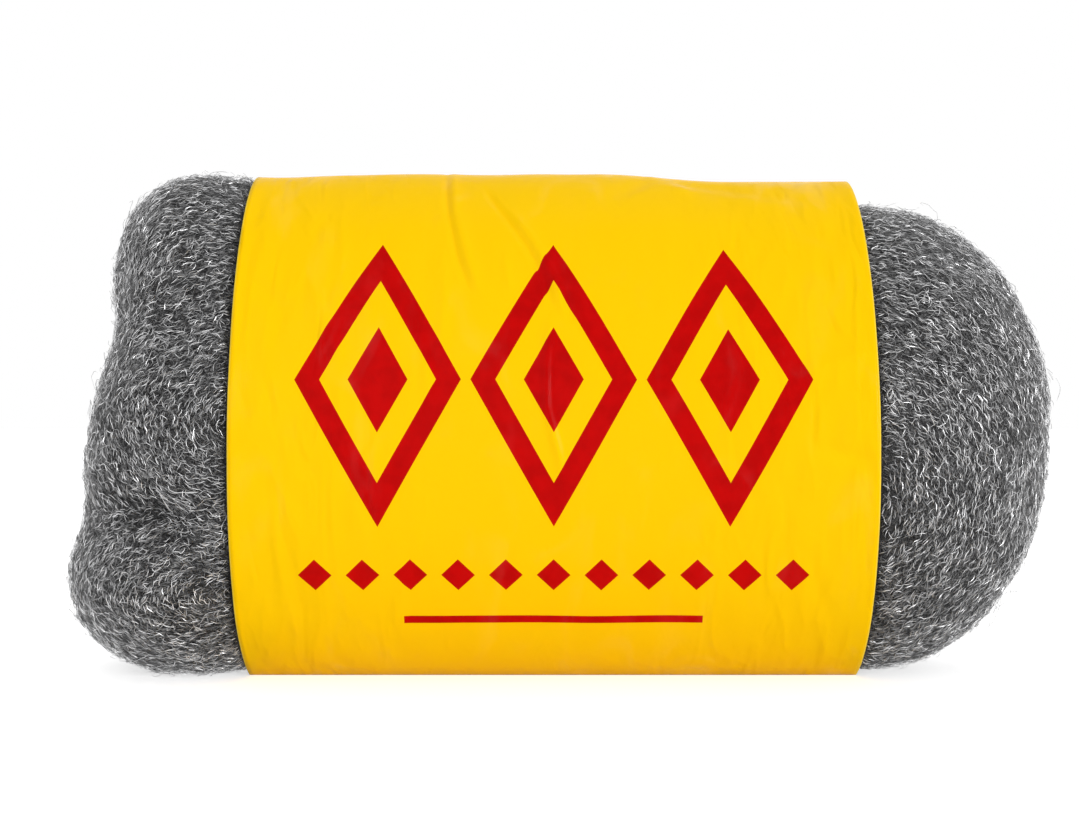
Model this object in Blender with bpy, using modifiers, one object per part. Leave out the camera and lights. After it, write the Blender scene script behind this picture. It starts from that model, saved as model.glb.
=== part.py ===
"""A hank of steel wool held by a printed band.

A long batt of steel wool is folded up into a flat hank. Its loops make one big round
fold at the right end and three smaller ones, stacked on each other, at the left. A strip
of printed film is wrapped round the middle and glued where its ends lap, at the back.
The hank stands on its long edge, which its own weight presses flat.

X runs along the hank, Y from its front to its back, and Z up. The origin is under the
middle of the hank, on the surface that it stands on. Every length is in metres.
"""

import math

import bmesh
import bpy
from mathutils import Matrix, Vector

# The hank's section inside the band: an oval, wider below than above, pressed flat below
SECTION_HEIGHT = 0.0916
SECTION_DEPTH = 0.0620
WIDEST_HEIGHT = 0.0410
PRESSED_DEPTH = 0.0025
TOP_ROUNDNESS = 1.8
BOTTOM_ROUNDNESS = 2.1

# The band
BAND_WIDTH = 0.1108
FILM_THICKNESS = 0.00015
BAND_CLEARANCE = 0.0003
LAP_LENGTH = 0.0150
LAP_STEP = 0.0080
GLUE_LINE = 0.0001

# How far the hank's top bulges above its right end. Places are shares of the band's
# width, from its right edge
CROWN_HEIGHT = 0.0014
CROWN_START = 0.18
CROWN_FULL = 0.43
CROWN_FALL = 0.75
CROWN_LEFT_SHARE = 0.55

# The big fold at the right end: its top is lower than the band's, and its bottom bends up
# earlier than its top bends down
RIGHT_REACH = 0.0381
RIGHT_FOLD_LENGTH = 0.0355
RIGHT_FOLD_SKEW = 0.0022
RIGHT_TOP_DROP = 0.0035
RIGHT_DROP_LENGTH = 0.0400
RIGHT_NOSE_HEIGHT = 0.485 * SECTION_HEIGHT

# The three folds at the left end, each a plump oval pad. Its reach is from the band's
# edge to its nose, its lean is in degrees, and a plumpness of 2 makes a plain oval
TOP_FOLD = {
    "reach": 0.0269,
    "nose_height": SECTION_HEIGHT - 0.0187,
    "length": 0.0352,
    "thickness": 0.0410,
    "depth": 0.840 * SECTION_DEPTH,
    "lean": 1.0,
    "plumpness": 2.0,
}
MIDDLE_FOLD = {
    "reach": 0.0297,
    "nose_height": 0.480 * SECTION_HEIGHT,
    "length": 0.0430,
    "thickness": 0.615 * SECTION_HEIGHT,
    "depth": 0.952 * SECTION_DEPTH,
    "lean": 15.0,
    "plumpness": 2.8,
}
BOTTOM_FOLD = {
    "reach": 0.0349,
    "nose_height": 0.0180,
    "length": 0.0458,
    "thickness": 0.0386,
    "depth": 0.952 * SECTION_DEPTH,
    "lean": 0.0,
    "plumpness": 2.05,
}
CORE_LEFT_LENGTH = 0.0140

# How far beyond its edges the band still nips the wool, and how fast the wool swells there
NIP_MARGIN = 0.0015
SWELL_SLOPE = 0.35

# The soft lumps all over the loose wool, where its bundles of fibre bulge
LUMP_SPACING = 0.0150
LUMP_HEIGHT = 0.0008

# Fineness of the meshes
WOOL_VOXEL = 0.0034
SOFTENING_PASSES = 6
SPHERE_SEGMENTS = 48
SPHERE_RINGS = 32
BAND_COLUMNS = 10
BAND_STEP_ANGLE = math.radians(4.5)

STEEL_GREY = (0.19, 0.19, 0.195, 1.0)
BAND_YELLOW = (0.98, 0.62, 0.006, 1.0)

# Sizes that follow from the ones above
HALF_DEPTH = SECTION_DEPTH / 2
TOP_RISE = SECTION_HEIGHT - WIDEST_HEIGHT
BOTTOM_DROP = WIDEST_HEIGHT + PRESSED_DEPTH
BAND_LEFT = -BAND_WIDTH / 2
BAND_RIGHT = BAND_WIDTH / 2
WOOL_INSET = FILM_THICKNESS + BAND_CLEARANCE
RIGHT_NOSE = BAND_RIGHT + RIGHT_REACH
RIGHT_FOLD_START = RIGHT_NOSE - RIGHT_FOLD_LENGTH


def clear_scene():
    for obj in list(bpy.data.objects):
        bpy.data.objects.remove(obj, do_unlink=True)


def blend(low, high, share):
    """From low to high, smoothly, as share goes from 0 to 1."""
    share = min(max(share, 0.0), 1.0)
    return low + (high - low) * share * share * (3 - 2 * share)


def section_radius(angle, inset=0.0):
    """Distance from the section's middle to its outline, drawn in by inset.

    The angle runs from the back of the hank (0) over its top (90 degrees)."""
    across, up = abs(math.cos(angle)), math.sin(angle)
    roundness = TOP_ROUNDNESS if up > 0 else BOTTOM_ROUNDNESS
    rise = (TOP_RISE if up > 0 else BOTTOM_DROP) - inset
    oval = (across / (HALF_DEPTH - inset)) ** roundness + (abs(up) / rise) ** roundness
    radius = oval ** (-1 / roundness)
    if up < 0:
        radius = min(radius, (WIDEST_HEIGHT - inset) / -up)
    return radius


def crown(x, angle):
    """How far the top bulges out at x: a long swelling left of the middle."""
    place = (BAND_RIGHT - x) / BAND_WIDTH
    risen = blend(0, 1, (place - CROWN_START) / (CROWN_FULL - CROWN_START))
    kept = blend(1, CROWN_LEFT_SHARE, (place - CROWN_FALL) / (1 - CROWN_FALL))
    return CROWN_HEIGHT * risen * kept * max(0.0, math.sin(angle)) ** 2


def around(angle, radius):
    """Point (y, z) at an angle and distance from the section's middle."""
    return radius * math.cos(angle), WIDEST_HEIGHT + radius * math.sin(angle)


def flat_corner_angles():
    """Angles of the two long edges of the flat that the hank stands on."""
    sunk_share = 1 - (WIDEST_HEIGHT / BOTTOM_DROP) ** BOTTOM_ROUNDNESS
    half_flat = HALF_DEPTH * sunk_share ** (1 / BOTTOM_ROUNDNESS)
    spread = math.atan2(half_flat, WIDEST_HEIGHT)
    return 1.5 * math.pi - spread, 1.5 * math.pi + spread


def wrap_angles():
    """Angles of the strip's rows, from its inner end round to its outer end, and the two
    angles between which it climbs over its own inner end.

    A row falls on each edge of the flat, so that the flat is true."""
    inner_end = -LAP_LENGTH / (2 * HALF_DEPTH)
    climbed = inner_end + 2 * math.pi
    climb_start = climbed - LAP_STEP / HALF_DEPTH
    outer_end = climbed + LAP_LENGTH / HALF_DEPTH
    stops = [inner_end, *flat_corner_angles(), climb_start, climbed, outer_end]
    angles = [inner_end]
    for low, high in zip(stops, stops[1:]):
        count = max(1, round((high - low) / BAND_STEP_ANGLE))
        angles += [low + (high - low) * i / count for i in range(1, count + 1)]
    return angles, climb_start, climbed


def material(name, colour, roughness, metallic):
    made = bpy.data.materials.new(name)
    made.use_nodes = True
    shader = made.node_tree.nodes["Principled BSDF"]
    shader.inputs["Base Color"].default_value = colour
    shader.inputs["Roughness"].default_value = roughness
    shader.inputs["Metallic"].default_value = metallic
    made.diffuse_color = colour
    return made


def add_object(name, mesh, collection, finish):
    obj = bpy.data.objects.new(name, mesh)
    obj.data.materials.clear()
    obj.data.materials.append(finish)
    collection.objects.link(obj)
    return obj


def unit_sphere():
    """A sphere of radius 1 with its poles at the hank's two ends."""
    ball = bmesh.new()
    bmesh.ops.create_uvsphere(ball, u_segments=SPHERE_SEGMENTS, v_segments=SPHERE_RINGS, radius=1)
    bmesh.ops.rotate(ball, verts=ball.verts, matrix=Matrix.Rotation(math.pi / 2, 3, "Y"))
    return ball


def right_top(x):
    """Share of its full height that the wool's top keeps at x, as it sinks to the right."""
    sink_start = BAND_RIGHT - RIGHT_DROP_LENGTH
    sunk = blend(0, RIGHT_TOP_DROP, (x - sink_start) / RIGHT_DROP_LENGTH)
    return 1 - sunk / TOP_RISE


def core_solid():
    """The folded body: the section run through the band, with the right fold closing it."""
    core = unit_sphere()
    for vert in core.verts:
        along, turn = vert.co.x, math.atan2(vert.co.z, vert.co.y)
        keep = math.hypot(vert.co.y, vert.co.z)
        if along > 0:
            skew = RIGHT_FOLD_SKEW * math.sin(turn) * (1 - along)
            x = RIGHT_FOLD_START + skew + RIGHT_FOLD_LENGTH * along
        else:
            x = BAND_LEFT + CORE_LEFT_LENGTH * along
        y, z = around(turn, section_radius(turn) + crown(x, turn))
        if z > WIDEST_HEIGHT:
            z = WIDEST_HEIGHT + (z - WIDEST_HEIGHT) * right_top(x)
        nose = RIGHT_NOSE_HEIGHT if along > 0 else WIDEST_HEIGHT
        vert.co = Vector((x, y * keep, nose + (z - nose) * keep))
    return core


def fold_solid(reach, nose_height, length, thickness, depth, lean, plumpness):
    """One loop of the batt at the left end."""
    fold = unit_sphere()
    for vert in fold.verts:
        vert.co /= sum(abs(c) ** plumpness for c in vert.co) ** (1 / plumpness)
    bmesh.ops.scale(fold, verts=fold.verts, vec=(length / 2, depth / 2, thickness / 2))
    bmesh.ops.rotate(fold, verts=fold.verts, matrix=Matrix.Rotation(math.radians(lean), 3, "Y"))
    middle = (BAND_LEFT - reach + length / 2, 0, nose_height)
    bmesh.ops.translate(fold, verts=fold.verts, vec=middle)
    return fold


def joined(solids):
    """One mesh that holds all the solids, which still overlap."""
    whole = bmesh.new()
    for solid in solids:
        part = bpy.data.meshes.new("solid")
        solid.to_mesh(part)
        solid.free()
        whole.from_mesh(part)
        bpy.data.meshes.remove(part)
    mesh = bpy.data.meshes.new("folds")
    whole.to_mesh(mesh)
    whole.free()
    return mesh


def lump_pattern():
    """A cloud pattern with one lump for about each spacing."""
    clouds = bpy.data.textures.new("lumps", "CLOUDS")
    clouds.noise_scale = LUMP_SPACING
    clouds.noise_depth = 1
    return clouds


def felted(mesh):
    """The folds grown into one body, with soft valleys where they meet and soft lumps."""
    obj = bpy.data.objects.new("felting", mesh)
    bpy.context.scene.collection.objects.link(obj)
    remesh = obj.modifiers.new("grow together", "REMESH")
    remesh.mode = "VOXEL"
    remesh.voxel_size = WOOL_VOXEL
    soften = obj.modifiers.new("soften", "SMOOTH")
    soften.factor = 0.5
    soften.iterations = SOFTENING_PASSES
    lumps = obj.modifiers.new("lumps", "DISPLACE")
    lumps.texture = lump_pattern()
    lumps.texture_coords = "LOCAL"
    lumps.mid_level = 0.5
    lumps.strength = 2 * LUMP_HEIGHT
    graph = bpy.context.evaluated_depsgraph_get()
    grown = bpy.data.meshes.new_from_object(obj.evaluated_get(graph))
    bpy.data.objects.remove(obj)
    return grown


def squeezed(point):
    """Where a point of the wool goes once the band and the floor press on it."""
    beyond = max(BAND_LEFT - NIP_MARGIN - point.x, point.x - BAND_RIGHT - NIP_MARGIN, 0.0)
    swollen = SWELL_SLOPE * beyond
    turn = math.atan2(point.z - WIDEST_HEIGHT, point.y)
    radius = math.hypot(point.y, point.z - WIDEST_HEIGHT)
    room = section_radius(turn, WOOL_INSET) + crown(point.x, turn) + swollen
    y, z = around(turn, min(radius, room))
    return Vector((point.x, y, max(z, WOOL_INSET - swollen, 0.0)))


def make_wool(collection):
    solids = [core_solid()] + [fold_solid(**fold) for fold in (TOP_FOLD, MIDDLE_FOLD, BOTTOM_FOLD)]
    mesh = felted(joined(solids))
    for vert in mesh.vertices:
        vert.co = squeezed(vert.co)
    mesh.shade_smooth()
    return add_object("steel_wool_hank", mesh, collection, material("steel wool", STEEL_GREY, 0.45, 0.8))


def make_band(collection):
    """The strip, laid flat as a grid, wrapped round the hank, then thickened inwards."""
    angles, climb_start, climbed = wrap_angles()
    rows = len(angles) - 1
    strip = bmesh.new()
    bmesh.ops.create_grid(strip, x_segments=BAND_COLUMNS, y_segments=rows, size=1)
    for vert in strip.verts:
        x = vert.co.x * BAND_WIDTH / 2
        angle = angles[round((vert.co.y + 1) / 2 * rows)]
        share = (angle - climb_start) / (climbed - climb_start)
        over_lap = blend(0, FILM_THICKNESS + GLUE_LINE, share)
        y, z = around(angle, section_radius(angle) + crown(x, angle) + over_lap)
        vert.co = Vector((x, y, z))
    mesh = bpy.data.meshes.new("strip")
    strip.to_mesh(mesh)
    strip.free()
    band = add_object("printed_band", mesh, collection, material("printed film", BAND_YELLOW, 0.32, 0.0))
    wall = band.modifiers.new("film thickness", "SOLIDIFY")
    wall.thickness = FILM_THICKNESS
    wall.offset = 1.0
    wall.use_even_offset = True
    band.data.shade_smooth()
    return band


def centre_over_origin(pieces):
    """Moves the pieces together, so that the middle of their whole length is at x = 0."""
    bpy.context.view_layer.update()
    ends = [vert.co.x for piece in pieces for vert in piece.data.vertices]
    for piece in pieces:
        piece.location.x = -(min(ends) + max(ends)) / 2


def main():
    clear_scene()
    collection = bpy.data.collections.new("steel_wool_pad")
    bpy.context.scene.collection.children.link(collection)
    pieces = [make_wool(collection), make_band(collection)]
    centre_over_origin(pieces)


main()
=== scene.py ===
"""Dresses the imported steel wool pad: loose steel strands over the hank, and a printed film band.

Run as a script, it makes every piece and the stage. Lengths are in metres, in the frame of
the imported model: X along the hank, -Y towards the camera, Z up.
"""

import math

import bpy
import numpy as np
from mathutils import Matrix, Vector, noise
from mathutils.bvhtree import BVHTree


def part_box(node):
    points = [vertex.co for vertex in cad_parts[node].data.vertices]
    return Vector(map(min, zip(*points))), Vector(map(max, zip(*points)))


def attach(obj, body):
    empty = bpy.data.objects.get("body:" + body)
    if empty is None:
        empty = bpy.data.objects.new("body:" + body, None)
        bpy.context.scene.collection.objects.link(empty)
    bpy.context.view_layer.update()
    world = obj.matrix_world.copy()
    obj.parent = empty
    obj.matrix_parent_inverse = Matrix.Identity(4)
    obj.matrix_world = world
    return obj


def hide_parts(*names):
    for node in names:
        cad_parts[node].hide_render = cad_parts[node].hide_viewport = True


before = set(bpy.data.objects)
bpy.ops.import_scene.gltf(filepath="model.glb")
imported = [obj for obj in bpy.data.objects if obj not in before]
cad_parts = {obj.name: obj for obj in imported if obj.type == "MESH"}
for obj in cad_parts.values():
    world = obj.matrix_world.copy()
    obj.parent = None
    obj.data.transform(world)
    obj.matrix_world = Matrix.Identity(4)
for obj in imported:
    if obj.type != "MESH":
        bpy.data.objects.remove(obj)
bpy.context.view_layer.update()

bl_info = {
    "name": "Steel wool pad",
    "version": (1, 0, 0),
    "blender": (4, 5, 0),
    "location": "View3D > Sidebar > Steel Wool",
    "description": "Strands, film band and stage for a banded hank of steel wool",
    "category": "Object",
}

BAND_LOW, BAND_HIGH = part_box("printed_band")
BAND_LEFT, BAND_RIGHT = BAND_LOW[0], BAND_HIGH[0]
BAND_MIDDLE = (BAND_LEFT + BAND_RIGHT) / 2
BAND_HALF_WIDTH = (BAND_RIGHT - BAND_LEFT) / 2

# The section inside the band, as the solids have it. Its lower half would reach below the
# floor, and is cut flat there
WIDEST_HEIGHT = 0.0410
SECTION_TOP = 0.0916
SECTION_FOOT = -0.0025
HALF_DEPTH = -BAND_LOW[1]
TOP_RISE = SECTION_TOP - WIDEST_HEIGHT
BOTTOM_DROP = WIDEST_HEIGHT - SECTION_FOOT
TOP_FULLNESS = 1.8
BOTTOM_FULLNESS = 2.1

# How far the solid band's top bulges out at most
CROWN_HEIGHT = 0.0014

# Each fold's turning centre (distance from the band's edge, height), reach and half height
RIGHT_FOLD = (-0.002, 0.0340, 0.0400, 0.0480)
TOP_FOLD = (-0.002, 0.0610, 0.0290, 0.0320)
MIDDLE_FOLD = (-0.002, 0.0460, 0.0330, 0.0230)
BOTTOM_FOLD = (-0.002, 0.0165, 0.0380, 0.0165)

# How far the body is drawn in under the band, where the film's own folds need room
UNDER_BAND_SINK = 0.0006

# The valleys between the left folds, as (x, z) points from the silhouette inwards
LOWER_CREASE = ((-0.0905, 0.0303), (-0.0800, 0.0312), (-0.0700, 0.0302), (-0.0630, 0.0262))
UPPER_CREASE = ((-0.0850, 0.0668), (-0.0770, 0.0685), (-0.0700, 0.0700), (-0.0600, 0.0705))

# The hollow where the lower valley runs out on the front: its middle, and its half width and
# half height
HOLLOW = (-0.0695, 0.0305, 0.0036, 0.0020)

# How far each end of the body stands out (or, below 0, draws in) at a height, as (z, out)
LEFT_TRIM = (
    (0.0, 0.0), (0.0105, 0.0003), (0.0219, -0.0002), (0.0270, -0.0007), (0.0330, -0.0010),
    (0.0370, -0.0004), (0.0480, -0.0005), (0.0560, 0.0), (0.0630, 0.0001), (0.0760, -0.0004),
)
RIGHT_TRIM = (
    (0.0, 0.0002), (0.0219, 0.0003), (0.0300, -0.0004), (0.0480, 0.0), (0.0620, 0.0002),
    (0.0900, 0.0),
)

# How far each trim and each valley takes to reach its full size
TRIM_RUN = 0.025
SKIN_RUN = 0.004
LOWER_VALLEY_WIDTH = 0.0030
UPPER_VALLEY_WIDTH = 0.0045

# Strands run in under the film as far as this, where it stands at least this far off the wool
RUN_IN_DEPTH = 0.0120
RUN_IN_GAP = 0.0016

# How deep a strand dips under the skin at the film's edge, and its least height off the floor
EDGE_DIP = 0.0004
FLOOR_AIR = 0.00012

# The texture of buried strands, one layer of lines to a row: lines per metre along the flow
# and across it, slant, offset, thickness and brightness
LINE_LAYERS = (
    (400.0, 1550.0, 0.10, 3.7, 0.065, 1.0),
    (540.0, 1750.0, -0.30, 21.3, 0.060, 0.70),
    (670.0, 2300.0, 0.35, 47.9, 0.065, 0.32),
    (950.0, 2800.0, 0.0, 81.2, 0.070, 0.15),
)

# Each lamp's share of the key's strength, and in degrees its spread, its elevation above the
# horizon and its turn to the right of the front
LAMPS = {
    "key": (1.0, 25, 10, 42),
    "fill": (0.56, 90, 4, -40),
    "behind": (0.38, 90, 50, 180),
}
FLOOR_SIZE = 12
FLOOR_GLOW = 0.60


class HankSettings(bpy.types.PropertyGroup):
    """The wool's body, under its loose strands."""

    grain: bpy.props.FloatProperty(
        name="Grain", description="Size of the body's facets", default=0.0015, unit="LENGTH"
    )
    sink: bpy.props.FloatProperty(
        name="Sink", description="How far the body lies below the strands' tops",
        default=0.0004, unit="LENGTH",
    )
    lump_height: bpy.props.FloatProperty(
        name="Lump height", description="Height of the small lumps", default=0.0003, unit="LENGTH"
    )
    lump_size: bpy.props.FloatProperty(
        name="Lump size", description="Width of the small lumps", default=0.005, unit="LENGTH"
    )
    crease_depth: bpy.props.FloatProperty(
        name="Crease depth", description="Depth of the valley between folds",
        default=0.0009, unit="LENGTH",
    )
    # Painted shade: this near-black colour stands in for the shade down in the gaps between the strands
    painted_gap_shade: bpy.props.FloatVectorProperty(
        name="Dark", description="Colour of the gaps between strands", subtype="COLOR", size=3,
        default=(0.005, 0.005, 0.0052), min=0, max=1,
    )
    light: bpy.props.FloatVectorProperty(
        name="Light", description="Colour of the buried strands", subtype="COLOR", size=3,
        default=(0.24, 0.24, 0.243), min=0, max=1,
    )


class StrandSettings(bpy.types.PropertyGroup):
    """The loose steel strands."""

    strand_count: bpy.props.IntProperty(
        name="Strands", description="Number of strands that lie on the wool", default=54000, min=1
    )
    strand_points: bpy.props.IntProperty(
        name="Points", description="Points along each strand", default=4, min=4
    )
    strand_step: bpy.props.FloatProperty(
        name="Step", description="Distance between a strand's points", default=0.00058, unit="LENGTH"
    )
    strand_width: bpy.props.FloatProperty(
        name="Width", description="Width of a strand", default=0.000098, unit="LENGTH"
    )
    stray_count: bpy.props.IntProperty(
        name="Strays", description="Number of short strands that stand off the wool",
        default=3600, min=1,
    )
    stray_height: bpy.props.FloatProperty(
        name="Stray height", description="How far a stray strand may stand off",
        default=0.0016, unit="LENGTH",
    )
    # In part painted shade: the lower strands, and those in the hollow and by the film's edge, are
    # drawn towards this near-black colour
    dull_and_shaded: bpy.props.FloatVectorProperty(
        name="Dull", description="Colour of the dullest strands", subtype="COLOR", size=3,
        default=(0.025, 0.025, 0.0255), min=0, max=1,
    )
    bright: bpy.props.FloatVectorProperty(
        name="Bright", description="Colour of the brightest strands", subtype="COLOR", size=3,
        default=(0.93, 0.93, 0.94), min=0, max=1,
    )


class BandSettings(bpy.types.PropertyGroup):
    """The film band and its print."""

    film_thickness: bpy.props.FloatProperty(
        name="Film thickness", description="Thickness of the film", default=0.00015, unit="LENGTH"
    )
    lap_length: bpy.props.FloatProperty(
        name="Lap", description="How far the ends lap at the back", default=0.015, unit="LENGTH"
    )
    fold_height: bpy.props.FloatProperty(
        name="Fold height", description="Height of the soft pulls in the film",
        default=0.00045, unit="LENGTH",
    )
    yellow: bpy.props.FloatVectorProperty(
        name="Yellow", description="Colour of the film", subtype="COLOR", size=3,
        default=(1.0, 0.60, 0.001), min=0, max=1,
    )
    red: bpy.props.FloatVectorProperty(
        name="Red", description="Colour of the print", subtype="COLOR", size=3,
        default=(0.53, 0.002, 0.002), min=0, max=1,
    )
    edge_pale: bpy.props.FloatVectorProperty(
        name="Cut edge", description="Colour of the film's cut edge", subtype="COLOR", size=3,
        default=(1.0, 0.70, 0.06), min=0, max=1,
    )
    big_spacing: bpy.props.FloatProperty(
        name="Lozenge spacing", description="Distance between the large lozenges",
        default=0.030, unit="LENGTH",
    )
    big_half_width: bpy.props.FloatProperty(
        name="Lozenge half width", description="Half the width of a large lozenge",
        default=0.0142, unit="LENGTH",
    )
    big_half_height: bpy.props.FloatProperty(
        name="Lozenge half height", description="Half the height of a large lozenge",
        default=0.0250, unit="LENGTH",
    )


class StageSettings(bpy.types.PropertyGroup):
    """Floor, lamps and camera."""

    floor: bpy.props.FloatVectorProperty(
        name="Floor", description="Colour of the floor", subtype="COLOR", size=3,
        default=(0.94, 0.94, 0.94), min=0, max=1,
    )
    world_strength: bpy.props.FloatProperty(
        name="Surround", description="Strength of the even light all round", default=0.50
    )
    key_strength: bpy.props.FloatProperty(
        name="Key", description="Strength of the soft lamp in front", default=1.50
    )
    camera_place: bpy.props.FloatVectorProperty(
        name="Camera", description="Place of the camera", subtype="TRANSLATION", size=3,
        default=(-0.0041, -0.2850, 0.0469), unit="LENGTH",
    )


def pick_only(obj):
    """Selects this object alone, and makes it the one that the tools act on."""
    bpy.ops.object.select_all(action="DESELECT")
    obj.select_set(True)
    bpy.context.view_layer.objects.active = obj


def apply_modifiers(obj):
    pick_only(obj)
    for modifier in list(obj.modifiers):
        bpy.ops.object.modifier_apply(modifier=modifier.name)


def smooth_step(value):
    """0 below 0, 1 above 1, and a soft rise between."""
    value = np.clip(value, 0.0, 1.0)
    return value * value * (3 - 2 * value)


def unit(vectors):
    return vectors / np.maximum(np.linalg.norm(vectors, axis=-1, keepdims=True), 1e-12)


def vertex_places(mesh):
    places = np.empty(len(mesh.vertices) * 3)
    mesh.vertices.foreach_get("co", places)
    return places.reshape(-1, 3)


def vertex_normals(mesh):
    normals = np.empty(len(mesh.vertices) * 3)
    mesh.vertex_normals.foreach_get("vector", normals)
    return normals.reshape(-1, 3)


def soft_noise(places, size, seed):
    """Smooth values from -1 to 1 that change over about this size."""
    shifted = places / size + np.array([seed * 17.3, seed * 5.1, seed * 9.7])
    return np.array([noise.noise(Vector(p)) for p in shifted])


def beyond_band(x):
    """How far x is outside the band's span; negative inside."""
    return np.maximum(BAND_LEFT - x, x - BAND_RIGHT)


def distance_to_line(x, z, line):
    """Distance in the XZ plane to a line of points, and the share of the way along it."""
    best = np.full(len(x), 1e9)
    share = np.zeros(len(x))
    for i, (start, end) in enumerate(zip(line, line[1:])):
        step = (end[0] - start[0], end[1] - start[1])
        length2 = step[0] ** 2 + step[1] ** 2
        t = np.clip(((x - start[0]) * step[0] + (z - start[1]) * step[1]) / length2, 0, 1)
        away = np.hypot(x - start[0] - t * step[0], z - start[1] - t * step[1])
        nearer = away < best
        best = np.where(nearer, away, best)
        share = np.where(nearer, (i + t) / (len(line) - 1), share)
    return best, share


def crease_heights(x):
    """Heights of the lower and upper valley at x."""
    lower = np.interp(x, [p[0] for p in LOWER_CREASE], [p[1] for p in LOWER_CREASE])
    upper = np.interp(x, [p[0] for p in UPPER_CREASE], [p[1] for p in UPPER_CREASE])
    return lower, upper


def hollow_share(places):
    """1 in the middle of the front's hollow, 0 well outside it."""
    x, z, half_width, half_height = HOLLOW
    away = np.hypot((places[:, 0] - x) / half_width, (places[:, 2] - z) / half_height)
    return np.exp(-away ** 2) * (places[:, 1] < 0)


def fold_place(places, higher=0.0):
    """For each point: its offset across and up from its fold's turning centre, where across
    is 0 inside the band, the fold's reach and half height, and the offset across as it is.
    The upper valley counts as this much higher."""
    x, z = places[:, 0], places[:, 2]
    lower, upper = crease_heights(x)
    owner = np.where(x > 0, 0, np.where(z < lower, 3, np.where(z < upper + higher, 2, 1)))
    folds = np.array([RIGHT_FOLD, TOP_FOLD, MIDDLE_FOLD, BOTTOM_FOLD])[owner]
    centre = np.where(x > 0, BAND_RIGHT + folds[:, 0], BAND_LEFT - folds[:, 0])
    across = np.where(x > 0, np.maximum(x - centre, 0), np.minimum(x - centre, 0))
    return across, z - folds[:, 1], folds[:, 2], folds[:, 3], x - centre


def strand_directions(places):
    """The way the batt's strands run: lengthwise, and round each fold at its end. It is
    averaged over a few heights of the upper valley, where the folds run into each other."""
    course = np.zeros((len(places), 3))
    for higher in (-0.0050, -0.0020, 0.0020, 0.0050):
        across, up, reach, half, _ = fold_place(places, higher)
        slope = np.stack([up / half ** 2, np.zeros(len(up)), -across / reach ** 2], 1)
        slope[:, 0] += np.where(np.abs(slope).sum(1) < 1, 1e3, 0)
        course += unit(slope)
    return unit(course)


def strand_coordinates(places):
    """Coordinates for the wool's texture: along the strands, across them, and depth."""
    across, up, reach, half, run = fold_place(places)
    round_fold = np.hypot(across / reach, up / half)
    turn = np.arctan2(up / half, np.abs(across) / reach)
    straight = np.where(across == 0, np.abs(run), 0) * np.sign(up)
    along = turn * (reach + half) / 2 + straight
    return np.stack([along, round_fold * half, places[:, 1]], 1)


def section_radius(angle):
    """Distance from the section's middle to the film, from the back (0) over the top."""
    across, up = np.abs(np.cos(angle)), np.sin(angle)
    halves = []
    for reach, fullness in ((TOP_RISE, TOP_FULLNESS), (BOTTOM_DROP, BOTTOM_FULLNESS)):
        power = (across / HALF_DEPTH) ** fullness + (np.abs(up) / reach) ** fullness
        halves.append(power ** (-1 / fullness))
    above, below = halves
    flat = WIDEST_HEIGHT / np.maximum(-up, 1e-9)
    return np.where(up > 0, above, np.minimum(below, flat))


def crown_height(x):
    """How far the solid band's top bulges out at x: not at all at its right end, and less
    at its left end than in the middle."""
    place = (BAND_RIGHT - x) / (BAND_RIGHT - BAND_LEFT)
    fall = 0.45 * smooth_step((place - 0.75) / 0.25)
    return CROWN_HEIGHT * smooth_step((place - 0.18) / 0.25) * (1 - fall)


def room_under_film(places):
    """0 where the film lies close over the skin, 1 where it stands well off or has ended."""
    up = places[:, 2] - WIDEST_HEIGHT
    angle = np.arctan2(up, places[:, 1])
    film = section_radius(angle) + crown_height(places[:, 0]) * np.clip(np.sin(angle), 0, 1) ** 2
    gap = film - np.hypot(places[:, 1], up)
    beyond = beyond_band(places[:, 0])
    inside = smooth_step((gap - RUN_IN_GAP) / 0.0010) * smooth_step((beyond + RUN_IN_DEPTH) / 0.0040)
    return np.maximum(smooth_step((beyond - 0.0002) / 0.0016), inside)


class NodeBoard:
    """Adds nodes to a tree and joins them, so that a material reads as a formula."""

    def __init__(self, tree):
        self.tree = tree

    def add(self, kind, **settings):
        made = self.tree.nodes.new(kind)
        for key, value in settings.items():
            setattr(made, key, value)
        return made

    def feed(self, socket, value):
        if isinstance(value, bpy.types.NodeSocket):
            self.tree.links.new(value, socket)
        elif value is not None:
            socket.default_value = value

    def feed_all(self, made, values):
        for name, value in values.items():
            self.feed(made.inputs[name], value)
        return made

    def math(self, operation, first, second=None, third=None):
        made = self.add("ShaderNodeMath", operation=operation)
        for socket, value in zip(made.inputs, (first, second, third)):
            self.feed(socket, value)
        return made.outputs[0]

    def vector(self, operation, first, second=None, scale=None):
        made = self.add("ShaderNodeVectorMath", operation=operation)
        self.feed(made.inputs[0], first)
        self.feed(made.inputs[1], second)
        if scale is not None:
            self.feed(made.inputs["Scale"], scale)
        return made.outputs[0]

    def between(self, value, low, high, to_low=0.0, to_high=1.0):
        """value taken from low..high to to_low..to_high, softly, and kept inside."""
        made = self.add("ShaderNodeMapRange", interpolation_type="SMOOTHSTEP")
        span = {"From Min": low, "From Max": high, "To Min": to_low, "To Max": to_high}
        return self.feed_all(made, {"Value": value, **span}).outputs["Result"]

    def mix(self, share, first, second):
        made = self.add("ShaderNodeMix", data_type="RGBA")
        self.feed(made.inputs["Factor"], share)
        self.feed(made.inputs[6], first)
        self.feed(made.inputs[7], second)
        return made.outputs[2]

    def noise(self, place, scale, detail, roughness=0.5, distortion=0.0):
        made = self.add("ShaderNodeTexNoise")
        look = {"Scale": scale, "Detail": detail, "Roughness": roughness, "Distortion": distortion}
        return self.feed_all(made, {"Vector": place, **look}).outputs["Fac"]

    def group(self, group, **values):
        made = self.add("ShaderNodeGroup", node_tree=group)
        return self.feed_all(made, {name.replace("_", " "): value for name, value in values.items()})


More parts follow.
